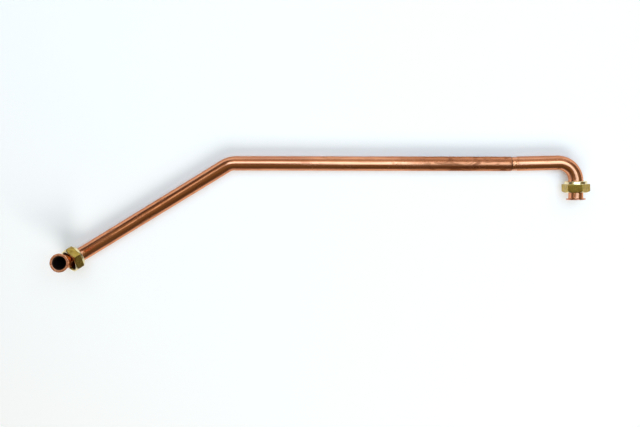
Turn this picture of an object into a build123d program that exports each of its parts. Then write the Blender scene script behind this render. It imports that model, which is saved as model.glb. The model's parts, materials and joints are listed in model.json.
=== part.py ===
"""Bent 18 mm copper connecting pipe with a rolled flange and a loose brass union nut at each end.

The pipe lies on a flat surface: the long run, the leg and the bend between them touch it all along,
and the two short tails rise from it. Millimetres, +Z up, +X along the run towards the outlet.
"""
import os
from math import cos, radians, sin, sqrt, tan

from build123d import *

# Tube
TUBE_OD = 18.0
TUBE_WALL = 1.0
BEND_RADIUS = 23.0             # centre line of every bend

# Route, measured between the points where the straight centre lines meet
RUN_LENGTH = 353.4             # middle bend to the brazed joint
ELBOW_LENGTH = 82.1            # brazed joint to the outlet bend
ELBOW_KINK = 1.6               # degrees the elbow was brazed out of line
LEG_LENGTH = 252.5             # middle bend to the inlet bend
LEG_TURN = 32.0                # degrees between the run and the leg
INLET_TAIL = 51.5              # inlet bend to the inlet flange's face
INLET_TAIL_AZIMUTH = 88.5
INLET_TAIL_ELEVATION = 70.0
OUTLET_TAIL = 47.0             # outlet bend to the outlet flange's face
OUTLET_TAIL_AZIMUTH = -88.3
OUTLET_TAIL_ELEVATION = 15.8

# Rolled flange at each end, made from the tube's own wall
FLANGE_OD = 23.8
FLANGE_THICKNESS = 1.2
FLANGE_LIP_RADIUS = 1.6        # inside, where the bore turns out into the face
FLANGE_BACK_RADIUS = 1.2       # outside, where the tube turns out into the flange
FLANGE_EDGE_RADIUS = 0.35
FLANGE_LENGTH = 4.0            # straight length that belongs to the flange

# Brazed joint, measured from the main tube's end
SPIGOT_OD = 15.2
SPIGOT_LENGTH = 10.0
NECK_START = 0.8
NECK_OD = 17.0
NECK_LENGTH = 6.0
NECK_TAPER = 1.6
FILLER_OD = 17.4

# Union nut, G 3/4 thread
NUT_ACROSS_FLATS = 30.0
NUT_HEX_HEIGHT = 10.8
NUT_NECK_OD = 28.0
NUT_NECK_HEIGHT = 3.6
NUT_NECK_EDGE = 1.0
NUT_HOLE = 19.6
NUT_SHOULDER = 3.0
NUT_CHAMFER_DIAMETER = 28.6    # where the 30 degree corner chamfers start
THREAD_MAJOR = 26.441
THREAD_MINOR = 24.117
THREAD_RELIEF_LENGTH = 1.8     # undercut behind the thread
MOUTH_DIAMETER = 27.0
MOUTH_CHAMFER = 2.2

# Where the loose nuts lie
OUTLET_NUT_TO_FACE = 9.0       # nut's mouth to the flange's face
INLET_NUT_RIDE = 42.0          # degrees round the inlet bend, to the middle of the nut's shoulder
INLET_NUT_COCK = 8.5           # degrees the nut leans further into the bend
INLET_NUT_LEAN = -5.0          # degrees the nut leans out of the bend's plane
INLET_NUT_SPIN = 17.2          # degrees from corner up
OUTLET_NUT_SPIN = 50.0         # degrees from corner up

TUBE_R = TUBE_OD / 2
BORE_R = TUBE_R - TUBE_WALL
NUT_HEIGHT = NUT_NECK_HEIGHT + NUT_HEX_HEIGHT
UP = Vector(0, 0, 1)


def direction(azimuth, elevation=0.0):
    """Unit vector at an azimuth from +X and an elevation from the surface, in degrees."""
    flat = cos(radians(elevation))
    return Vector(flat * cos(radians(azimuth)), flat * sin(radians(azimuth)), sin(radians(elevation)))


# Directions and corner points of the route, with the middle bend's corner over the origin
RUN_DIR = direction(0)
LEG_DIR = direction(180 + LEG_TURN)
INLET_DIR = direction(INLET_TAIL_AZIMUTH, INLET_TAIL_ELEVATION)
ELBOW_DIR = direction(ELBOW_KINK)
OUTLET_DIR = direction(OUTLET_TAIL_AZIMUTH, OUTLET_TAIL_ELEVATION)

MIDDLE_CORNER = Vector(0, 0, TUBE_R)
JOINT = MIDDLE_CORNER + RUN_DIR * RUN_LENGTH
OUTLET_CORNER = JOINT + ELBOW_DIR * ELBOW_LENGTH
OUTLET_FACE = OUTLET_CORNER + OUTLET_DIR * OUTLET_TAIL
INLET_CORNER = MIDDLE_CORNER + LEG_DIR * LEG_LENGTH
INLET_FACE = INLET_CORNER + INLET_DIR * INLET_TAIL

# The inlet bend's own geometry, which the inlet nut rides on
INLET_BEND_ANGLE = LEG_DIR.get_angle(INLET_DIR)
INLET_BEND_AXIS = LEG_DIR.cross(INLET_DIR).normalized()
INLET_BEND_INWARD = INLET_BEND_AXIS.cross(LEG_DIR)
INLET_BEND_START = INLET_CORNER - LEG_DIR * (BEND_RADIUS * tan(radians(INLET_BEND_ANGLE / 2)))
INLET_BEND_CENTRE = INLET_BEND_START + INLET_BEND_INWARD * BEND_RADIUS


def ring_section(origin, along, outer, inner):
    """Flat ring across a tube's axis."""
    return Plane(origin, z_dir=along) * (Circle(outer) - Circle(inner))


def bent_tube(points):
    """Hollow tube through the corner points, with a bend of the common radius at each inner one."""
    path = FilletPolyline(*points, radius=BEND_RADIUS)
    return sweep(ring_section(points[0], points[1] - points[0], TUBE_R, BORE_R), path=path)


def turned(corners, rounds=()):
    """Solid turned about Z from (radius, z) corners; rounds pairs a corner's index with its radius."""
    profile = Polygon(*corners, align=None)
    for index, radius in rounds:
        r, z = corners[index]
        corner = profile.vertices().sort_by_distance((r, z, 0))[0]
        profile = fillet(corner, radius)
    return revolve(Plane.XZ * profile, axis=Axis.Z)


def flange():
    """Rolled end: the sealing face is at z = 0 and looks up +Z, the tube goes down."""
    flange_r = FLANGE_OD / 2
    corners = [
        (BORE_R, -FLANGE_LENGTH),
        (BORE_R, 0),
        (flange_r, 0),
        (flange_r, -FLANGE_THICKNESS),
        (TUBE_R, -FLANGE_THICKNESS),
        (TUBE_R, -FLANGE_LENGTH),
    ]
    rounds = [
        (1, FLANGE_LIP_RADIUS),
        (2, FLANGE_EDGE_RADIUS),
        (3, FLANGE_EDGE_RADIUS),
        (4, FLANGE_BACK_RADIUS),
    ]
    return turned(corners, rounds)


def main_tube():
    """Inlet flange, inlet tail, leg and run, ending square at the brazed joint."""
    tail_start = INLET_FACE - INLET_DIR * FLANGE_LENGTH
    tube = bent_tube([tail_start, INLET_CORNER, MIDDLE_CORNER, JOINT])
    return tube + Plane(INLET_FACE, z_dir=INLET_DIR) * flange()


def outlet_elbow():
    """Spigot, neck, elbow and flange, all out of line with the run by the kink."""
    spigot_r = SPIGOT_OD / 2
    neck_end = NECK_START + NECK_LENGTH + NECK_TAPER
    neck = turned([
        (spigot_r - TUBE_WALL, -SPIGOT_LENGTH),
        (spigot_r, -SPIGOT_LENGTH),
        (spigot_r, NECK_START),
        (NECK_OD / 2, NECK_START),
        (NECK_OD / 2, NECK_START + NECK_LENGTH),
        (TUBE_R, neck_end),
        (BORE_R, neck_end),
        (spigot_r - TUBE_WALL, NECK_START + TUBE_WALL),
    ])
    tail_end = OUTLET_FACE - OUTLET_DIR * FLANGE_LENGTH
    tube = bent_tube([JOINT + ELBOW_DIR * neck_end, OUTLET_CORNER, tail_end])
    at_joint = Plane(JOINT, z_dir=ELBOW_DIR)
    at_face = Plane(OUTLET_FACE, z_dir=OUTLET_DIR)
    return tube + at_joint * neck + at_face * flange()


def braze_filler():
    """Ring of filler round the spigot, in the groove between the main tube's end and the neck."""
    ring = turned([
        (SPIGOT_OD / 2, -NECK_START),
        (FILLER_OD / 2, -NECK_START),
        (FILLER_OD / 2, NECK_START),
        (SPIGOT_OD / 2, NECK_START),
    ])
    tube_end = Plane(JOINT, z_dir=RUN_DIR)
    return split(Plane(JOINT, z_dir=ELBOW_DIR) * ring, bisect_by=tube_end, keep=Keep.TOP)


def union_nut():
    """Hex nut with its mouth up +Z and the middle of its shoulder at the origin."""
    neck_z = -NUT_SHOULDER / 2
    hex_z = neck_z + NUT_NECK_HEIGHT
    mouth_z = neck_z + NUT_HEIGHT
    seat_z = neck_z + NUT_SHOULDER
    corner_r = NUT_ACROSS_FLATS / sqrt(3)
    chamfer_r = NUT_CHAMFER_DIAMETER / 2
    chamfer_drop = (corner_r - chamfer_r) * tan(radians(30))
    envelope = turned([
        (0, hex_z),
        (chamfer_r, hex_z),
        (corner_r, hex_z + chamfer_drop),
        (corner_r, mouth_z - chamfer_drop),
        (chamfer_r, mouth_z),
        (0, mouth_z),
    ])
    hexagon = RegularPolygon(NUT_ACROSS_FLATS / 2, 6, major_radius=False)
    body = Pos(0, 0, hex_z) * extrude(hexagon, NUT_HEX_HEIGHT) & envelope
    neck = turned(
        [(0, neck_z), (NUT_NECK_OD / 2, neck_z), (NUT_NECK_OD / 2, hex_z), (0, hex_z)],
        [(1, NUT_NECK_EDGE)],
    )
    hole_r = NUT_HOLE / 2
    cavity = turned([
        (0, neck_z),
        (hole_r, neck_z),
        (hole_r, seat_z),
        (THREAD_MAJOR / 2, seat_z),
        (THREAD_MAJOR / 2, seat_z + THREAD_RELIEF_LENGTH),
        (THREAD_MINOR / 2, seat_z + THREAD_RELIEF_LENGTH),
        (THREAD_MINOR / 2, mouth_z - MOUTH_CHAMFER),
        (MOUTH_DIAMETER / 2, mouth_z),
        (0, mouth_z),
    ])
    return body + neck - cavity


def nut_place(origin, axis, spin):
    """Place for a nut: a corner points up, as far as the axis lets it, and then turns by spin."""
    corner = UP - axis * UP.dot(axis)
    return Plane(origin, x_dir=corner, z_dir=axis).location * Rot(0, 0, spin)


def outlet_nut():
    """Nut on the outlet tail, coaxial with it, resting back against the bend."""
    mouth_to_shoulder = NUT_HEIGHT - NUT_SHOULDER / 2
    origin = OUTLET_FACE - OUTLET_DIR * (OUTLET_NUT_TO_FACE + mouth_to_shoulder)
    return nut_place(origin, OUTLET_DIR, OUTLET_NUT_SPIN) * union_nut()


def inlet_nut():
    """Nut that has slipped on to the inlet bend and lies cocked on it."""
    ride = radians(INLET_NUT_RIDE)
    lean = radians(INLET_NUT_LEAN)
    tilt = radians(INLET_NUT_RIDE + INLET_NUT_COCK)
    origin = INLET_BEND_CENTRE + (LEG_DIR * sin(ride) - INLET_BEND_INWARD * cos(ride)) * BEND_RADIUS
    in_plane = LEG_DIR * cos(tilt) + INLET_BEND_INWARD * sin(tilt)
    axis = in_plane * cos(lean) + INLET_BEND_AXIS * sin(lean)
    return nut_place(origin, axis, INLET_NUT_SPIN) * union_nut()


def build():
    """Every piece, with the middle of the underside of their common box at the origin."""
    pieces = {
        "main_tube": main_tube(),
        "outlet_elbow": outlet_elbow(),
        "braze_filler": braze_filler(),
        "inlet_nut": inlet_nut(),
        "outlet_nut": outlet_nut(),
    }
    box = Compound(list(pieces.values())).bounding_box()
    shift = Pos(-box.center().X, -box.center().Y, -box.min.Z)
    return {name: shift * piece for name, piece in pieces.items()}


os.makedirs("parts", exist_ok=True)
for node, solid in build().items():
    export_step(solid, f"parts/{node}.step")
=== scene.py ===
"""Detailed look of the bent copper connecting pipe, with its braze and union nuts, on a pale floor.

Every piece is built in the CAD frame, in metres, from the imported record's mounts and the part's own sizes.
"""
import json
from math import atan, ceil, cos, pi, radians, sin, sqrt, tan

import bmesh
import bpy
from mathutils import Matrix, Vector, noise

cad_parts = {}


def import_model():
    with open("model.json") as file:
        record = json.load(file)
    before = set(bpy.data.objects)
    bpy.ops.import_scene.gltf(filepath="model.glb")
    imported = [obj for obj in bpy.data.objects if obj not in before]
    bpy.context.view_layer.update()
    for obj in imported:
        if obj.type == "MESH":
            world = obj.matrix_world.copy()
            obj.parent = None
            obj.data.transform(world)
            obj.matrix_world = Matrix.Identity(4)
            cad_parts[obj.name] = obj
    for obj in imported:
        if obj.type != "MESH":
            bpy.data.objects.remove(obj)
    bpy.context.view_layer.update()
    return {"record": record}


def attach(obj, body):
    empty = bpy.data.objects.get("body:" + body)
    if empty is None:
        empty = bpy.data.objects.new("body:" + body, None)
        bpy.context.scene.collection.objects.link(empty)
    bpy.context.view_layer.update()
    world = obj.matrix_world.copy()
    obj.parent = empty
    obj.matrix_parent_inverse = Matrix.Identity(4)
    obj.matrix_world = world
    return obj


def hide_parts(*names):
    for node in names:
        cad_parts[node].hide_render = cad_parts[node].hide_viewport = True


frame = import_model()
MOUNTS = {mount["name"]: mount for mount in frame["record"]["mounts"]}

MM = 0.001
UP = Vector((0, 0, 1))

# Tube and route, as the CAD part has them
TUBE_R = 9.0 * MM
BORE_R = 8.0 * MM
BEND_R = 23.0 * MM
RUN_LENGTH = 353.4 * MM
ELBOW_LENGTH = 82.1 * MM
ELBOW_KINK = radians(1.6)
LEG_LENGTH = 252.5 * MM
LEG_TURN = radians(32)
INLET_TAIL = 51.5 * MM

# Rolled flange
FLANGE_R = 11.9 * MM
FLANGE_THICKNESS = 1.2 * MM
LIP_R = 1.6 * MM
BACK_R = 1.2 * MM
EDGE_R = 0.35 * MM

# Brazed joint, measured along the elbow from the main tube's end
SPIGOT_R = 7.6 * MM
SPIGOT_LENGTH = 10.0 * MM
NECK_START = 0.8 * MM
NECK_R = 8.5 * MM
NECK_LENGTH = 6.0 * MM
NECK_TAPER = 1.6 * MM
NECK_EDGE_R = 0.2 * MM
NECK_ROWS = 6
WALL = 1.0 * MM

# Union nut
APOTHEM = 15.0 * MM
HEX_HEIGHT = 10.8 * MM
NECK_OD_R = 14.0 * MM
NECK_HEIGHT = 3.6 * MM
NUT_NECK_FILLET = 1.0 * MM
HOLE_R = 9.8 * MM
SHOULDER = 3.0 * MM
CHAMFER_R = 14.3 * MM
THREAD_MAJOR_R = 26.441 / 2 * MM
THREAD_MINOR_R = 24.117 / 2 * MM
THREAD_PITCH = 1.814 * MM
THREAD_RELIEF = 1.8 * MM
MOUTH_R = 13.5 * MM
MOUTH_CHAMFER = 2.2 * MM
INLET_NUT_SPIN = radians(17.2)
OUTLET_NUT_SPIN = radians(50)
NUT_HEIGHT = NECK_HEIGHT + HEX_HEIGHT


# ---------------------------------------------------------------- places


def level(angle):
    """Unit vector along the floor at an angle from +X."""
    return Vector((cos(angle), sin(angle), 0))


def face_centre(end):
    """Middle of a flange's sealing face, from the middle of the straight bore behind it."""
    bore = MOUNTS[end + "_bore"]
    reach = bore["dims"]["length_mm"] * MM / 2 + LIP_R
    return Vector(bore["pos_m"]) + Vector(bore["axis"]) * reach


INLET_DIR = Vector(MOUNTS["inlet_bore"]["axis"])
INLET_FACE = face_centre("inlet")
OUTLET_FACE = face_centre("outlet")
LEG_DIR = level(pi + LEG_TURN)
ELBOW_DIR = level(ELBOW_KINK)
INLET_CORNER = INLET_FACE - INLET_DIR * INLET_TAIL
MIDDLE_CORNER = INLET_CORNER - LEG_DIR * LEG_LENGTH
JOINT = MIDDLE_CORNER + level(0) * RUN_LENGTH
OUTLET_CORNER = JOINT + ELBOW_DIR * ELBOW_LENGTH


class Route:
    """Centre line through corner points, with an arc at each inner one."""

    def __init__(self, corners):
        self.legs = []
        self.length = 0.0
        at = corners[0]
        along = (corners[1] - at).normalized()
        side = (UP - along * UP.dot(along)).normalized()
        if side.length < 0.5:
            side = along.orthogonal().normalized()
        for corner, after in zip(corners[1:], corners[2:]):
            turned = (after - corner).normalized()
            angle = along.angle(turned)
            cut = BEND_R * tan(angle / 2)
            self._leg((corner - at).length - cut, at, along, side, None)
            at = corner - along * cut
            axis = along.cross(turned).normalized()
            self._leg(BEND_R * angle, at, along, side, axis)
            side = Matrix.Rotation(angle, 3, axis) @ side
            at = corner + turned * cut
            along = turned
        self._leg((corners[-1] - at).length, at, along, side, None)

    def _leg(self, length, at, along, side, axis):
        self.legs.append((self.length, length, at, along, side, axis))
        self.length += length

    def place(self, s):
        """(point, along, side, inward) at a length; inward points into a bend, else it is None."""
        for start, length, at, along, side, axis in self.legs:
            if s <= start + length or start == self.legs[-1][0]:
                break
        if axis is None:
            return at + along * (s - start), along, side, None
        inward = axis.cross(along)
        turn = Matrix.Rotation((s - start) / BEND_R, 3, axis)
        point = at + inward * BEND_R - turn @ inward * BEND_R
        return point, turn @ along, turn @ side, turn @ inward

    def bend_ease(self, s):
        """0 on the straights, 1 in the middle of a bend."""
        for start, length, _, _, _, axis in self.legs:
            if axis is not None and start < s < start + length:
                return sin(pi * (s - start) / length) ** 0.5
        return 0.0

    def stations(self, first, last, straight_step, bend_step):
        """Lengths from first to last, closer together round the bends."""
        found = []
        for start, length, _, _, _, axis in self.legs:
            low = max(start, first)
            high = min(start + length, last)
            if high > low:
                count = ceil((high - low) / (bend_step if axis is not None else straight_step))
                found += [low + (high - low) * i / count for i in range(count)]
        return found + [last]


# ---------------------------------------------------------------- meshes


def new_piece(name, points, quads, attributes, material, body):
    """Smooth closed mesh with shader attributes, riding on a body and standing for the node of its name."""
    mesh = bpy.data.meshes.new(name)
    mesh.from_pydata(points, [], quads)
    mesh.materials.append(material)
    for attribute, (kind, field, values) in attributes.items():
        layer = mesh.attributes.new(attribute, kind, "POINT")
        layer.data.foreach_set(field, values)
    work = bmesh.new()
    work.from_mesh(mesh)
    bmesh.ops.recalc_face_normals(work, faces=work.faces)
    work.to_mesh(mesh)
    work.free()
    mesh.polygons.foreach_set("use_smooth", [True] * len(mesh.polygons))
    piece = bpy.data.objects.new(name + "_detail", mesh)
    bpy.context.scene.collection.objects.link(piece)
    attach(piece, body)
    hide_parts(name)
    return piece


def closed_grid(rows, columns):
    """Quads of a grid whose rows and columns both close on themselves."""
    quads = []
    for i in range(rows):
        j = (i + 1) % rows
        for k in range(columns):
            m = (k + 1) % columns
            quads.append((i * columns + k, i * columns + m, j * columns + m, j * columns + k))
    return quads


def rounded(corners, steps=5):
    """Points of a closed outline of (a, b, fillet) corners; each fillet gives the same number of points."""
    outline = []
    for i, (a, b, fillet) in enumerate(corners):
        here = Vector((a, b))
        if fillet == 0:
            outline.append(here)
            continue
        before = (Vector(corners[i - 1][:2]) - here).normalized()
        after = (Vector(corners[(i + 1) % len(corners)][:2]) - here).normalized()
        half = before.angle(after) / 2
        centre = here + (before + after).normalized() * (fillet / sin(half))
        first = here + before * (fillet / tan(half)) - centre
        last = here + after * (fillet / tan(half)) - centre
        for k in range(steps + 1):
            share = k / steps
            spoke = first * (1 - share) + last * share
            outline.append(centre + spoke.normalized() * fillet)
    return outline


def smooth(low, high, value):
    """0 below low, 1 above high, and an S between them."""
    share = min(1.0, max(0.0, (value - low) / (high - low)))
    return share * share * (3 - 2 * share)


def wobble(seed, s, angle, length, rounds):
    """Smooth noise, about -1 to 1, over a tube: one bump per length along it and a few round it."""
    return noise.noise(Vector((s / length + seed, rounds * cos(angle) + seed, rounds * sin(angle))))


# ---------------------------------------------------------------- tubes

TUBE_SIDES = 96
STRAIGHT_STEP = 1.3 * MM
BEND_STEP = 0.7 * MM
BORE_STEP = 3.0 * MM
OVALITY = 0.03           # how much a bend flattens in its own plane
SURFACE_WAVE = 0.04 * MM
LONG_WAVE = 34 * MM
SHORT_WAVE = 9 * MM
SHORT_WAVE_SHARE = 0.45
FLANGE_LENGTH = 4.0 * MM
FLANGE_STEPS = 7
FACE_DULLNESS = 0.12     # how far the flange's sealing face is darkened and roughened toward the bore's painted shade, where 1 is the bore's
# painted shade on the lip: it starts at LIP_BRIGHT_R and is full at LIP_DARK_R, as the lip rolls into the
# bore
LIP_BRIGHT_R = 9.7 * MM
LIP_DARK_R = 8.6 * MM


def tube_point(route, s, r, angle, seed):
    """Point of a bent tube's surface, with the flattening and faint waviness of a drawn and bent tube."""
    point, along, side, inward = route.place(s)
    radial = side * cos(angle) + along.cross(side) * sin(angle)
    ease = route.bend_ease(s)
    if inward is not None:
        r *= 1 - OVALITY * ease * radial.dot(inward) ** 2
    wave = wobble(seed, s, angle, LONG_WAVE, 0.8)
    wave += SHORT_WAVE_SHARE * wobble(seed + 40, s, angle, SHORT_WAVE, 1.6)
    return point + radial * (r + SURFACE_WAVE * (1 + ease) * wave)


def flange_outline(face_s, outward):
    """(s, r, inside) points of a rolled flange; outward is 1 or -1 along the route."""
    corners = [
        (-FLANGE_LENGTH, TUBE_R, 0),
        (-FLANGE_THICKNESS, TUBE_R, BACK_R),
        (-FLANGE_THICKNESS, FLANGE_R, EDGE_R),
        (0, FLANGE_R, EDGE_R),
        (0, BORE_R, LIP_R),
        (-FLANGE_LENGTH, BORE_R, 0),
    ]
    points = rounded(corners, steps=FLANGE_STEPS)
    lip = len(points) - (FLANGE_STEPS + 1) - 1
    on_face = -0.001 * MM
    section = []
    for i, (s, r) in enumerate(points):
        # painted shade: the lip darkens as it rolls into the bore, and the sealing face takes a share of it
        inside = smooth(LIP_BRIGHT_R, LIP_DARK_R, r) if i >= lip else 0.0
        if s > on_face:
            inside = max(inside, FACE_DULLNESS)
        section.append((face_s + outward * s, r, inside))
    return section


def tube_piece(name, route, outline, seed, joint_s, material):
    """Closed tube whose outline, as (s, r, inside) points, is turned round the route."""
    angles = [2 * pi * k / TUBE_SIDES for k in range(TUBE_SIDES)]
    points = [tube_point(route, s, r, angle, seed) for s, r, _ in outline for angle in angles]
    flow = []
    for s, _, _ in outline:
        for angle in angles:
            flow += [s - joint_s, TUBE_R * cos(angle), TUBE_R * sin(angle)]
    inside = [value for _, _, value in outline for _ in angles]
    attributes = {"flow": ("FLOAT_VECTOR", "vector", flow), "inside": ("FLOAT", "value", inside)}
    return new_piece(name, points, closed_grid(len(outline), TUBE_SIDES), attributes, material, "pipe")


def main_tube(material):
    """Inlet flange, tail, leg and run, ending square at the brazed joint."""
    route = Route([INLET_FACE, INLET_CORNER, MIDDLE_CORNER, JOINT])
    end = route.length
    outer_stations = route.stations(FLANGE_LENGTH, end - 0.3 * MM, STRAIGHT_STEP, BEND_STEP)
    outer = [(s, TUBE_R, 0.0) for s in outer_stations]
    bore = [(s, BORE_R, 1.0) for s in route.stations(FLANGE_LENGTH, end, BORE_STEP, 2 * BEND_STEP)]
    rim = [
        (end, BORE_R + 0.2 * MM, 1.0),
        (end, TUBE_R - 0.25 * MM, 0.0),
        (end - 0.1 * MM, TUBE_R - 0.08 * MM, 0.0),
    ]
    outline = outer[:0:-1] + flange_outline(0.0, -1) + bore[1:] + rim
    return tube_piece("main_tube", route, outline, 3.0, end, material)


def outlet_elbow(material):
    """Spigot, neck, elbow and outlet flange."""
    route = Route([JOINT - ELBOW_DIR * SPIGOT_LENGTH, OUTLET_CORNER, OUTLET_FACE])
    joint = SPIGOT_LENGTH
    neck_start = joint + NECK_START
    start = [
        (0.0, SPIGOT_R - WALL, 1.0),
        (0.0, SPIGOT_R, 1.0),
        (neck_start, SPIGOT_R, 0.5),
        (neck_start, NECK_R - NECK_EDGE_R, 0.0),
        (neck_start + NECK_EDGE_R, NECK_R, 0.0),
    ]
    start += [(neck_start + NECK_LENGTH * k / NECK_ROWS, NECK_R, 0.0) for k in range(1, NECK_ROWS + 1)]
    first = neck_start + NECK_LENGTH + NECK_TAPER
    last = route.length - FLANGE_LENGTH
    outer = [(s, TUBE_R, 0.0) for s in route.stations(first, last, STRAIGHT_STEP, BEND_STEP)]
    bore = [(s, BORE_R, 1.0) for s in route.stations(first, last, BORE_STEP, 2 * BEND_STEP)]
    outline = start + outer[:-1] + flange_outline(route.length, 1) + bore[-2::-1]
    outline.append((neck_start + WALL, SPIGOT_R - WALL, 1.0))
    return tube_piece("outlet_elbow", route, outline, 17.0, joint, material)


# ---------------------------------------------------------------- braze

BRAZE_SIDES = 168
BRAZE_ROWS = 44
GROOVE_R = 8.42 * MM
FILM_END = 7.4 * MM
FILM_RAGGED = 1.5 * MM
FILM_THICKNESS = 0.13 * MM
FILM_LUMPS = 0.16 * MM
FILM_SUNK = 0.1 * MM     # how far under the copper the film ends
FILM_ROOT_R = 8.1 * MM


def braze_surface(s, angle):
    """Radius of the filler: sunk in the groove, lumpy over the neck, and under the copper past its edge."""
    lumps = wobble(5.0, s, angle, 2.2 * MM, 4.5) + 0.5 * wobble(9.0, s, angle, 1.0 * MM, 9.0)
    if s < NECK_START:
        return GROOVE_R + 0.5 * FILM_LUMPS * lumps
    neck = NECK_R + (TUBE_R - NECK_R) * min(1.0, max(0.0, (s - NECK_START - NECK_LENGTH) / NECK_TAPER))
    edge = FILM_END + FILM_RAGGED * wobble(2.0, 0.0, angle, 1.0, 2.2)
    fade = smooth(edge + 0.5 * MM, edge - 0.7 * MM, s)
    return neck + (FILM_THICKNESS + FILM_LUMPS * lumps + FILM_SUNK) * fade - FILM_SUNK


def braze_filler(material):
    """Ring of filler in the groove with the lumpy film that ran over the neck."""
    reach = FILM_END + 2 * FILM_RAGGED
    rows = [(reach * k / BRAZE_ROWS, None) for k in range(BRAZE_ROWS + 1)]
    rows += [(reach, FILM_ROOT_R), (NECK_START + 0.1 * MM, FILM_ROOT_R)]
    rows += [(NECK_START, SPIGOT_R), (0.0, SPIGOT_R)]
    points = []
    flow = []
    across = ELBOW_DIR.cross(UP)
    for s, fixed in rows:
        for k in range(BRAZE_SIDES):
            angle = 2 * pi * k / BRAZE_SIDES
            r = braze_surface(s, angle) if fixed is None else fixed
            radial = across * cos(angle) + UP * sin(angle)
            points.append(JOINT + ELBOW_DIR * s + radial * r)
            flow += [s, TUBE_R * cos(angle), TUBE_R * sin(angle)]
    attributes = {"flow": ("FLOAT_VECTOR", "vector", flow)}
    return new_piece(
        "braze_filler", points, closed_grid(len(rows), BRAZE_SIDES), attributes, material, "pipe"
    )


# ---------------------------------------------------------------- union nuts

SIDE_POINTS = 30
FLAT_ROWS = 9
FILLET_STEPS = 4
BRIGHT_EDGE = 2          # points of a flat's end fillets that shine like the turned faces
CORNER_RADIUS = 0.45 * MM
NECK_SIDE_R = 16.2 * MM  # where the corner chamfer starts on the neck side
THREAD_ROW = 0.13 * MM
FLAT_WAVE = 0.025 * MM
LONG_RIPPLE = 7 * MM
SHORT_RIPPLE = 2.5 * MM


def hex_angles():
    """Angles round a nut, closer together over the rounded corners, with a corner at 0."""
    step = radians(60)
    turn = corner_half_angle()
    found = []
    for side in range(6):
        middle = side * step
        found += [middle + turn * share for share in (-1, -0.6, -0.2, 0.2, 0.6)]
        found += [middle + turn + (step - 2 * turn) * k / SIDE_POINTS for k in range(SIDE_POINTS)]
    return found


def corner_half_angle():
    """Angle each side of a corner that its rounding takes."""
    reach = (APOTHEM - CORNER_RADIUS) / cos(radians(30))
    return radians(30) - atan(reach * 0.5 / APOTHEM)


def hex_radius(angle):
    """Radius of a hexagon with rounded corners, one of them at angle 0."""
    off = (angle + radians(30)) % radians(60) - radians(30)
    if abs(off) < corner_half_angle():
        reach = (APOTHEM - CORNER_RADIUS) / cos(radians(30))
        return reach * cos(off) + sqrt(CORNER_RADIUS ** 2 - (reach * sin(off)) ** 2)
    return APOTHEM / cos(radians(30) - abs(off))


def thread_radius(z, angle):
    """Cavity's radius at a depth below the mouth: mouth chamfer, helical thread, then relief groove."""
    relief_top = -(NUT_HEIGHT - SHOULDER - THREAD_RELIEF)
    turn = (z / THREAD_PITCH + angle / (2 * pi)) % 1.0
    depth = smooth(0.08, 0.42, turn) - smooth(0.58, 0.92, turn)
    thread = THREAD_MINOR_R + (THREAD_MAJOR_R - THREAD_MINOR_R) * depth
    chamfer = MOUTH_R + z * (MOUTH_R - THREAD_MINOR_R) / MOUTH_CHAMFER
    relief = THREAD_MAJOR_R - max(0.0, z - relief_top) * 1.2
    return max(thread, chamfer, relief)


def nut_outline(angle):
    """(r, z, inside, turned) points of a nut's section at an angle, with the mouth at z = 0."""
    bottom = -NUT_HEIGHT
    hex_z = bottom + NECK_HEIGHT
    seat = bottom + SHOULDER
    hexagon = hex_radius(angle)
    drop = (hexagon - CHAMFER_R) * tan(radians(30))
    neck_side = min(NECK_SIDE_R, hexagon - 0.25 * MM)
    neck_drop = (hexagon - neck_side) * tan(radians(30))
    neck = [
        (HOLE_R, bottom, 0.25 * MM),
        (NECK_OD_R, bottom, NUT_NECK_FILLET),
        (NECK_OD_R, hex_z, 0.12 * MM),
        (neck_side, hex_z, 0.1 * MM),
    ]
    sides = [(hexagon, hex_z + neck_drop, 0.22 * MM), (hexagon, -drop, 0.22 * MM)]
    mouth = [(CHAMFER_R, 0, 0.15 * MM), (MOUTH_R, 0, 0.1 * MM)]
    cavity = [(THREAD_MAJOR_R, seat, 0.3 * MM), (HOLE_R, seat, 0.3 * MM)]
    points = rounded(neck + sides + mouth + cavity, steps=FILLET_STEPS)
    per_corner = FILLET_STEPS + 1
    low_edge = len(neck) * per_corner
    high_edge = low_edge + per_corner
    dull_from = low_edge + BRIGHT_EDGE
    dull_to = high_edge + per_corner - BRIGHT_EDGE
    mouth_end = len(neck + sides + mouth) * per_corner
    low = points[high_edge - 1].y
    high = points[high_edge].y
    section = [(r, z, 0.0, 1.0) for r, z in points[:dull_from]]
    section += [(r, z, 0.0, 0.0) for r, z in points[dull_from:high_edge]]
    section += [(hexagon, low + (high - low) * k / FLAT_ROWS, 0.0, 0.0) for k in range(1, FLAT_ROWS)]
    section += [(r, z, 0.0, 0.0) for r, z in points[high_edge:dull_to]]
    section += [(r, z, 0.0, 1.0) for r, z in points[dull_to:mouth_end]]
    depth = -seat - 0.4 * MM
    rows = int(depth / THREAD_ROW)
    for k in range(1, rows + 1):
        z = -depth * k / rows
        # painted shade: the thread darkens deeper into the mouth
        section.append((thread_radius(z, angle), z, smooth(-0.3 * MM, -2.2 * MM, z), 0.0))
    section += [(r, z, 1.0, 0.0) for r, z in points[mouth_end:]]
    return section


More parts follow.
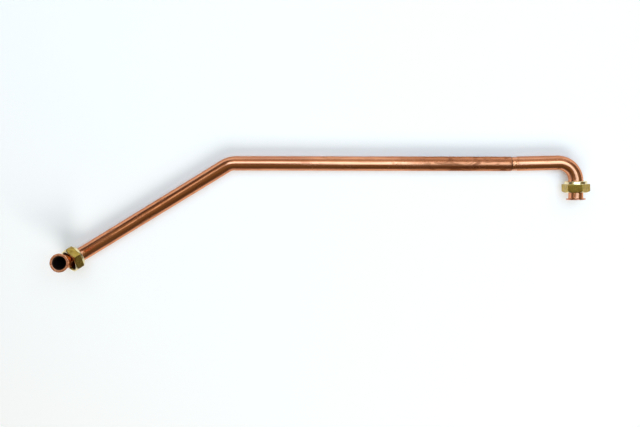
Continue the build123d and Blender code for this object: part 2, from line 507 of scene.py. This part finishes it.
def nut_piece(name, spin, seed, material, body):
    """Union nut on its thread mount: the mouth faces along the mount's axis."""
    mount = MOUNTS[name.replace("nut", "thread")]
    mouth = Vector(mount["pos_m"])
    axis = Vector(mount["axis"])
    corner = Matrix.Rotation(spin, 3, axis) @ (UP - axis * UP.dot(axis)).normalized()
    across = axis.cross(corner)
    angles = hex_angles()
    sections = [nut_outline(angle) for angle in angles]
    rows = len(sections[0])
    points = []
    flow = []
    inside = []
    turned = []
    for row in range(rows):
        for section, angle in zip(sections, angles):
            r, z, cavity, bright = section[row]
            place = Vector((cos(angle) * r, sin(angle) * r, z))
            wave = noise.noise(place * (1 / LONG_RIPPLE) + Vector((seed, 0, 0)))
            wave += 0.5 * noise.noise(place * (1 / SHORT_RIPPLE) + Vector((0, seed, 0)))
            r += FLAT_WAVE * wave
            points.append(mouth + corner * (cos(angle) * r) + across * (sin(angle) * r) + axis * z)
            flow += list(place)
            inside.append(cavity)
            turned.append(bright)
    attributes = {
        "flow": ("FLOAT_VECTOR", "vector", flow),
        "inside": ("FLOAT", "value", inside),
        "turned": ("FLOAT", "value", turned),
    }
    return new_piece(name, points, closed_grid(rows, len(angles)), attributes, material, body)


# ---------------------------------------------------------------- materials


class Shader:
    """A material's node tree, with short calls for the nodes that the finishes share."""

    def __init__(self, name):
        self.material = bpy.data.materials.new(name)
        self.material.use_nodes = True
        self.tree = self.material.node_tree
        self.bsdf = self.tree.nodes["Principled BSDF"]

    @classmethod
    def of_tree(cls, tree):
        """The same short calls on a tree that isn't a material's."""
        made = cls.__new__(cls)
        made.tree = tree
        return made

    def node(self, kind, inputs=(), **settings):
        """New node with its settings, and its inputs as (socket, value or output) pairs."""
        made = self.tree.nodes.new(kind)
        for setting, value in settings.items():
            setattr(made, setting, value)
        for socket, value in inputs:
            self.put(made.inputs[socket], value)
        return made

    def put(self, socket, value):
        """Sets a socket, or links an output to it."""
        if isinstance(value, bpy.types.NodeSocket):
            self.tree.links.new(value, socket)
        else:
            socket.default_value = value

    def attribute(self, name, output="Vector"):
        return self.node("ShaderNodeAttribute", attribute_name=name).outputs[output]

    def stretched(self, vector, scale):
        """The vector in cells of 1 / scale metres along each axis."""
        return self.node("ShaderNodeMapping", [("Vector", vector), ("Scale", scale)]).outputs["Vector"]

    def noise(self, vector, scale, detail=4.0, roughness=0.55, distortion=0.0):
        inputs = [("Vector", vector), ("Scale", scale), ("Detail", detail), ("Roughness", roughness)]
        return self.node("ShaderNodeTexNoise", inputs + [("Distortion", distortion)]).outputs["Fac"]

    def ramp(self, value, low, high, start=0.0, end=1.0):
        """The value carried smoothly from low..high to start..end."""
        inputs = [("Value", value), ("From Min", low), ("From Max", high), ("To Min", start), ("To Max", end)]
        return self.node("ShaderNodeMapRange", inputs, interpolation_type="SMOOTHSTEP").outputs["Result"]

    def math(self, operation, first, second):
        return self.node("ShaderNodeMath", [(0, first), (1, second)], operation=operation).outputs[0]

    def blend(self, share, first, second):
        """Colour between first and second, by share."""
        made = self.node("ShaderNodeMix", data_type="RGBA")
        self.put(made.inputs["Factor"], share)
        self.put(made.inputs["A"], first)
        self.put(made.inputs["B"], second)
        return made.outputs["Result"]

    def between(self, share, first, second):
        """Number between first and second, by share."""
        made = self.node("ShaderNodeMix", data_type="FLOAT")
        self.put(made.inputs["Factor"], share)
        self.put(made.inputs["A"], first)
        self.put(made.inputs["B"], second)
        return made.outputs["Result"]

    def bump(self, height, distance, normal=None):
        inputs = [("Height", height), ("Distance", distance), ("Strength", 1.0)]
        if normal is not None:
            inputs.append(("Normal", normal))
        return self.node("ShaderNodeBump", inputs).outputs["Normal"]

    def finish(self, colour, roughness, normal, metallic=1.0):
        self.put(self.bsdf.inputs["Base Color"], colour)
        self.put(self.bsdf.inputs["Roughness"], roughness)
        self.put(self.bsdf.inputs["Normal"], normal)
        self.put(self.bsdf.inputs["Metallic"], metallic)
        return self.material


def rgb(red, green, blue):
    return (red, green, blue, 1.0)


COPPER = rgb(0.79, 0.33, 0.17)
COPPER_PALE = rgb(0.83, 0.37, 0.21)
COPPER_TARNISH = rgb(0.50, 0.18, 0.08)
COPPER_DULL = rgb(0.54, 0.205, 0.115)
HEAT_BROWN = rgb(0.34, 0.115, 0.05)
HEAT_ORANGE = rgb(0.57, 0.215, 0.10)
# near-black painted shade for the inside of the tube's bore
BORE_PAINTED_SHADE = rgb(0.016, 0.010, 0.008)
COPPER_EDGE_TINT = rgb(0.78, 0.52, 0.36)
BRASS_BRIGHT = rgb(0.93, 0.80, 0.48)
BRASS_FLAT = rgb(0.52, 0.35, 0.075)
BRASS_SMUDGED = rgb(0.30, 0.195, 0.036)
BRASS_PATCH = rgb(0.40, 0.29, 0.17)
BRASS_GRIME = rgb(0.12, 0.08, 0.03)
# near-black painted shade for the nut's thread and hole
THREAD_PAINTED_SHADE = rgb(0.10, 0.045, 0.018)
FILLER_BRIGHT = rgb(0.86, 0.37, 0.19)
FILLER_DARK = rgb(0.62, 0.24, 0.11)
FLUX = rgb(0.20, 0.08, 0.04)
# painted shade for the braze groove
GROOVE_PAINTED_SHADE = rgb(0.035, 0.016, 0.010)

# Cells of each marking per metre, along the tube and across it
STREAKS = (14, 420, 420)
BANDS = (9, 240, 240)
BLOTCHES = (38, 120, 120)
HEAT_CLOUDS = (45, 130, 130)
SPECKS = (500, 700, 700)
DRAWN_LINES = (30, 2600, 2600)
PITS = (900, 1100, 1100)
FILLER_CLOUDS = (420, 420, 420)
FLUX_SPOTS = (900, 900, 900)

# Cells of each marking per metre on a nut
SMUDGES = 240.0
PATCHES = 90.0
GRAIN = 1900.0
LATHE_MARKS = 5200.0


def copper(name, heat_start, heat_full):
    """Drawn copper tube: streaks and blotches, painted shade darkening the bore, and a heat stain round the
    joint.

    The stain starts at heat_start metres from the joint and is full at heat_full.
    """
    shader = Shader(name)
    shader.bsdf.inputs["Specular Tint"].default_value = COPPER_EDGE_TINT
    flow = shader.attribute("flow")
    inside = shader.attribute("inside", "Fac")
    streaks = shader.noise(shader.stretched(flow, STREAKS), 1.0, detail=6)
    blotches = shader.noise(shader.stretched(flow, BLOTCHES), 1.0, detail=5, distortion=0.6)
    specks = shader.noise(shader.stretched(flow, SPECKS), 1.0, detail=2)
    tone = shader.blend(shader.ramp(streaks, 0.35, 0.68), COPPER, COPPER_PALE)
    tarnish = shader.ramp(blotches, 0.50, 0.74, 0.0, 0.6)
    tone = shader.blend(tarnish, tone, COPPER_TARNISH)
    bands = shader.noise(shader.stretched(flow, BANDS), 1.0, detail=5, distortion=0.3)
    tone = shader.blend(shader.ramp(bands, 0.48, 0.64, 0.0, 0.7), tone, COPPER_DULL)

    along = shader.node("ShaderNodeSeparateXYZ", [("Vector", flow)]).outputs["X"]
    away = shader.math("ABSOLUTE", along, 0.0)
    cloud_cells = shader.stretched(flow, HEAT_CLOUDS)
    clouds = shader.noise(cloud_cells, 1.0, detail=7, roughness=0.62, distortion=1.2)
    ragged_by = 0.35 * heat_full
    ragged = shader.math("ADD", away, shader.ramp(clouds, 0.3, 0.7, -ragged_by, ragged_by))
    near = shader.ramp(ragged, heat_start, heat_full)
    dark = shader.math("MULTIPLY", near, shader.ramp(clouds, 0.46, 0.58, 0.0, 0.9))
    tone = shader.blend(shader.math("MULTIPLY", near, 0.85), tone, HEAT_ORANGE)
    tone = shader.blend(dark, tone, HEAT_BROWN)
    tone = shader.blend(shader.ramp(specks, 0.66, 0.74, 0.0, 0.5), tone, COPPER_TARNISH)
    # painted shade: where inside is 1 the bore is darkened to near black; the lip and the sealing face take
    # part of it
    tone = shader.blend(inside, tone, BORE_PAINTED_SHADE)

    rough = shader.ramp(streaks, 0.3, 0.75, 0.15, 0.24)
    rough = shader.math("ADD", rough, shader.math("MULTIPLY", tarnish, 0.22))
    rough = shader.math("ADD", rough, shader.math("MULTIPLY", near, 0.09))
    rough = shader.math("ADD", rough, shader.math("MULTIPLY", dark, 0.2))
    rough = shader.between(inside, rough, 0.7)
    metallic = shader.between(inside, 1.0, 0.2)
    drawn = shader.noise(shader.stretched(flow, DRAWN_LINES), 1.0, detail=3)
    pits = shader.noise(shader.stretched(flow, PITS), 1.0, detail=3)
    normal = shader.bump(drawn, 0.012 * MM)
    normal = shader.bump(pits, 0.010 * MM, normal)
    return shader.finish(tone, rough, normal, metallic)


def brass(name, seed):
    """Brass nut: dull, smudged hexagon flats, bright turned neck and edges, and painted shade darkening the
    thread.
    """
    shader = Shader(name)
    flow = shader.attribute("flow")
    inside = shader.attribute("inside", "Fac")
    turned = shader.attribute("turned", "Fac")
    shift = shader.node("ShaderNodeMapping", [("Vector", flow), ("Location", (seed, seed, 0))])
    shifted = shift.outputs["Vector"]
    smudges = shader.noise(shifted, SMUDGES, detail=6, roughness=0.6, distortion=0.8)
    patches = shader.noise(shifted, PATCHES, detail=4, distortion=0.4)
    grain = shader.noise(shifted, GRAIN, detail=4)
    dull = shader.blend(shader.ramp(smudges, 0.38, 0.66), BRASS_FLAT, BRASS_SMUDGED)
    dull = shader.blend(shader.ramp(patches, 0.50, 0.64, 0.0, 0.4), dull, BRASS_PATCH)
    dull = shader.blend(shader.ramp(grain, 0.55, 0.72, 0.0, 0.5), dull, BRASS_GRIME)
    bright = shader.blend(shader.ramp(smudges, 0.35, 0.7, 0.0, 0.3), BRASS_BRIGHT, dull)
    tone = shader.blend(turned, dull, bright)
    # painted shade: the thread and the hole behind it are darkened to near black
    tone = shader.blend(inside, tone, THREAD_PAINTED_SHADE)

    rough = shader.ramp(smudges, 0.3, 0.7, 0.14, 0.24)
    rough = shader.between(turned, rough, shader.ramp(smudges, 0.3, 0.7, 0.12, 0.22))
    rough = shader.between(inside, rough, 0.45)

    parts = shader.node("ShaderNodeSeparateXYZ", [("Vector", flow)])
    flat = shader.node("ShaderNodeCombineXYZ", [("X", parts.outputs["X"]), ("Y", parts.outputs["Y"])])
    radius = shader.node("ShaderNodeVectorMath", [(0, flat.outputs["Vector"])], operation="LENGTH")
    lathe = shader.node("ShaderNodeCombineXYZ", [("X", radius.outputs["Value"]), ("Y", parts.outputs["Z"])])
    marks = shader.noise(lathe.outputs["Vector"], LATHE_MARKS, detail=2)
    normal = shader.bump(marks, 0.006 * MM)
    normal = shader.bump(grain, 0.016 * MM, normal)
    normal = shader.bump(smudges, 0.03 * MM, normal)
    return shader.finish(tone, rough, normal)


def braze(name):
    """Filler metal: mottled copper colour, with spots of dark flux, and painted shade in the groove."""
    shader = Shader(name)
    flow = shader.attribute("flow")
    along = shader.node("ShaderNodeSeparateXYZ", [("Vector", flow)]).outputs["X"]
    clouds = shader.noise(shader.stretched(flow, FILLER_CLOUDS), 1.0, detail=6, roughness=0.6)
    flux = shader.noise(shader.stretched(flow, FLUX_SPOTS), 1.0, detail=4)
    tone = shader.blend(shader.ramp(clouds, 0.40, 0.62), FILLER_BRIGHT, FILLER_DARK)
    tone = shader.blend(shader.ramp(flux, 0.60, 0.72, 0.0, 0.6), tone, FLUX)
    # painted shade: the filler darkens towards the sunk groove at the joint
    tone = shader.blend(shader.ramp(along, 1.1 * MM, 0.5 * MM, 0.0, 0.9), tone, GROOVE_PAINTED_SHADE)
    rough = shader.ramp(clouds, 0.35, 0.65, 0.17, 0.30)
    normal = shader.bump(flux, 0.06 * MM)
    return shader.finish(tone, rough, normal)


main_tube(copper("main_copper", heat_start=150 * MM, heat_full=105 * MM))
outlet_elbow(copper("elbow_copper", heat_start=11 * MM, heat_full=6 * MM))
braze_filler(braze("braze_filler"))
nut_piece("inlet_nut", INLET_NUT_SPIN, 1.7, brass("inlet_brass", 0.31), "inlet_nut")
nut_piece("outlet_nut", OUTLET_NUT_SPIN, 8.3, brass("outlet_brass", 0.77), "outlet_nut")


# ---------------------------------------------------------------- floor, lights and camera


# Surroundings: heights are the Z of a direction, and glows are strengths
HORIZON_TOP = 0.34
HORIZON_GLOW = 0.60
HORIZON_TINT = rgb(1.0, 0.98, 0.96)
SIDE_SHARE = 0.3         # of the horizon's glow, far to the left and right
WALL_GLOW = 0.36
CEILING_GLOW = 0.12
OVERHEAD_GLOW = 0.12
OVERHEAD_TINT = rgb(1.0, 0.76, 0.36)

FLOOR_HALF = 6.0
FLOOR_GLOW = 0.16
PANEL_DISTANCE = 1.45
PANEL_ON_FLOOR = 0.03    # the panels' share of diffuse light, so that their tint stays off the floor
COOL = (0.46, 0.73, 1.0)
NEUTRAL = (0.97, 0.98, 0.92)
FILL_TINT = (1.0, 0.985, 0.965)

CAMERA_OFFSET = Vector((0.1115, 0.28176, 0.9352))     # from the middle bend
CAMERA_RIGHT = Vector((1.0, 0.00251, 0.0011))
CAMERA_BACK = Vector((-0.00191, 0.34966, 0.93688))
CAMERA_LENS = 43.51


def floor():
    """Plain pale floor under the object, with a faint glow of its own."""
    mesh = bpy.data.meshes.new("floor")
    corners = [(FLOOR_HALF * x, FLOOR_HALF * y, 0) for x, y in ((-1, -1), (1, -1), (1, 1), (-1, 1))]
    mesh.from_pydata(corners, [], [(0, 1, 2, 3)])
    shader = Shader("floor")
    shader.bsdf.inputs["Base Color"].default_value = rgb(0.86, 0.86, 0.86)
    shader.bsdf.inputs["Roughness"].default_value = 0.9
    shader.bsdf.inputs["Emission Color"].default_value = rgb(1.0, 1.0, 1.0)
    shader.bsdf.inputs["Emission Strength"].default_value = FLOOR_GLOW
    mesh.materials.append(shader.material)
    made = bpy.data.objects.new("floor", mesh)
    bpy.context.scene.collection.objects.link(made)


def area_light(name, place, target, size, power, colour):
    """Soft rectangular light at a place, facing a target, with the first of its sizes along X."""
    light = bpy.data.lights.new(name, "AREA")
    light.shape = "RECTANGLE"
    light.size, light.size_y = size
    light.energy = power
    light.color = colour
    made = bpy.data.objects.new(name, light)
    back = (Vector(place) - Vector(target)).normalized()
    across = Vector((1, 0, 0))
    across = (across - back * across.dot(back)).normalized()
    turn = Matrix((across, back.cross(across), back)).transposed()
    made.matrix_world = Matrix.Translation(place) @ turn.to_4x4()
    bpy.context.scene.collection.objects.link(made)
    return made


def panel(name, low, high, sides, radiance, colour):
    """Soft panel overhead between its sides along X, from a low to a high angle off the vertical, to +Y."""
    middle = (low + high) / 2
    width = 2 * PANEL_DISTANCE * tan((high - low) / 2)
    length = sides[1] - sides[0]
    place = (sum(sides) / 2, PANEL_DISTANCE * sin(middle), PANEL_DISTANCE * cos(middle))
    made = area_light(name, place, (place[0], 0, 0), (length, width), radiance * pi * length * width, colour)
    made.data.diffuse_factor = PANEL_ON_FLOOR
    return made


def floor_fill():
    """Large soft light from the front that lights the floor and isn't seen in the metal."""
    made = area_light("floor_fill", (0.9, -2.3, 2.1), (0, 0, 0), (3.2, 1.8), 84.0, FILL_TINT)
    made.visible_glossy = False
    return made


def world():
    """Studio surroundings: dim and warm overhead, and bright at the horizon on the near side (-Y).

    The far side has a mid-tone wall, except to the left. A faint ceiling fades out towards the near side.
    """
    made = bpy.data.worlds.new("studio")
    made.use_nodes = True
    shader = Shader.of_tree(made.node_tree)
    direction = shader.node("ShaderNodeTexCoord").outputs["Generated"]
    parts = shader.node("ShaderNodeSeparateXYZ", [("Vector", direction)]).outputs
    right = parts["X"]
    beyond = parts["Y"]
    height = parts["Z"]
    sideways = shader.math("ABSOLUTE", right, 0.0)
    glow = shader.ramp(height, HORIZON_TOP, 0.04, 0.0, HORIZON_GLOW)
    glow = shader.math("MULTIPLY", glow, shader.ramp(beyond, -0.6, 0.6, 1.0, 0.1))
    glow = shader.math("MULTIPLY", glow, shader.ramp(sideways, 0.6, 0.9, 1.0, SIDE_SHARE))
    wall = shader.ramp(beyond, 0.60, 0.86, 0.0, WALL_GLOW)
    wall = shader.math("MULTIPLY", wall, shader.ramp(right, -0.55, -0.15))
    ceiling = shader.ramp(beyond, -0.75, -0.1, 0.0, CEILING_GLOW)
    ceiling = shader.math("MULTIPLY", shader.ramp(height, 0.25, 0.55), ceiling)
    low = shader.math("ADD", glow, wall)
    high = shader.math("ADD", ceiling, OVERHEAD_GLOW)
    tint = shader.blend(shader.ramp(height, 0.5, HORIZON_TOP), OVERHEAD_TINT, HORIZON_TINT)
    background = made.node_tree.nodes["Background"]
    shader.put(background.inputs["Color"], tint)
    shader.put(background.inputs["Strength"], shader.math("ADD", low, high))
    bpy.context.scene.world = made


def camera():
    """Above the pipe and a little beyond the run, looking down with the run across the top of the view."""
    data = bpy.data.cameras.new("camera")
    data.lens = CAMERA_LENS
    data.sensor_width = 36.0
    made = bpy.data.objects.new("camera", data)
    right = CAMERA_RIGHT.normalized()
    back = (CAMERA_BACK - right * CAMERA_BACK.dot(right)).normalized()
    turn = Matrix((right, back.cross(right), back)).transposed()
    made.matrix_world = Matrix.Translation(MIDDLE_CORNER + CAMERA_OFFSET) @ turn.to_4x4()
    bpy.context.scene.collection.objects.link(made)
    bpy.context.scene.camera = made


floor()
world()
panel("softbox", radians(16), radians(54), (-0.80, 1.05), 0.40, NEUTRAL)
panel("softbox_core", radians(20), radians(46), (-0.72, 1.00), 3.0, COOL)
panel("softbox_side", radians(3), radians(20), (0.00, 1.05), 2.3, COOL)
panel("softbox_left", radians(0), radians(32), (-1.27, -0.93), 0.95, NEUTRAL)
floor_fill()
camera()
bpy.context.scene.view_settings.view_transform = "Standard"

bpy.context.view_layer.update()
